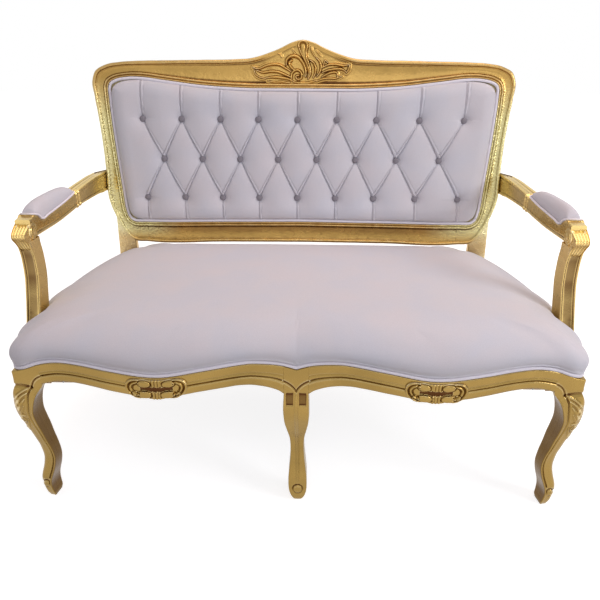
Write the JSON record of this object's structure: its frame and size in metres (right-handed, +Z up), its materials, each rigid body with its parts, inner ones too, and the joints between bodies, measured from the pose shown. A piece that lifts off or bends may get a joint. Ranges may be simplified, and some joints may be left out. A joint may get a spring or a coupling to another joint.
{
  "type": "cabriole sofa",
  "caption": "Two-seat open-arm settee with carved gilt cabriole frame, serpentine front rail, diamond-buttoned back, crowned tight seat and padded arms.",
  "frame": {"origin": "middle of the footprint box on the floor, under the seat", "axes": "+X along the seat to the sitter's left, +Y from the front edge to the back, +Z up"},
  "size_m": [1.3722, 0.7262, 1.0592],
  "materials": {
    "gilt_wood": "hardwood under gesso and rubbed gold leaf paint, satin gloss",
    "plain_beech": "unfinished sawn hardwood",
    "steel_fixings": "plain zinc",
    "jute": "woven jute",
    "foam": "open-cell upholstery foam",
    "suede_cloth": "short-nap suede-like cloth, pale grey-lilac",
    "piping_cloth": "self piping in the cover cloth",
    "twine": "waxed twine",
    "dust_cloth": "black non-woven cloth"
  },
  "bodies": {
    "root": {"crest_rail": "gilt_wood", "left_back_stile": "gilt_wood", "right_back_stile": "gilt_wood", "lower_back_rail": "gilt_wood", "left_front_rail": "gilt_wood", "right_front_rail": "gilt_wood", "left_side_rail": "gilt_wood", "right_side_rail": "gilt_wood", "rear_seat_rail": "gilt_wood", "left_front_leg": "gilt_wood", "centre_front_leg": "gilt_wood", "right_front_leg": "gilt_wood", "left_arm": "gilt_wood", "right_arm": "gilt_wood", "left_arm_support": "gilt_wood", "right_arm_support": "gilt_wood", "crest_carving": "gilt_wood", "left_rail_cartouche": "gilt_wood", "right_rail_cartouche": "gilt_wood", "cross_bearer": "plain_beech", "corner_braces": "plain_beech", "brace_screws": "steel_fixings", "seat_frame_dowels": "plain_beech", "back_frame_dowels": "plain_beech", "arm_dowels": "plain_beech", "arm_support_screws": "steel_fixings", "front_to_back_webbing": "jute", "side_to_side_webbing": "jute", "seat_hessian": "jute", "seat_foam": "foam", "seat_cover": "suede_cloth", "seat_piping": "piping_cloth", "seat_dust_cover": "dust_cloth", "back_board": "plain_beech", "back_foam": "foam", "tufted_back_cover": "suede_cloth", "back_buttons": "suede_cloth", "button_twines": "twine", "twine_washers": "steel_fixings", "back_piping": "piping_cloth", "outside_back_cover": "suede_cloth", "outside_back_piping": "piping_cloth", "left_arm_pad": "suede_cloth", "right_arm_pad": "suede_cloth", "left_arm_pad_piping": "piping_cloth", "right_arm_pad_piping": "piping_cloth"}
  },
  "joints": []
}
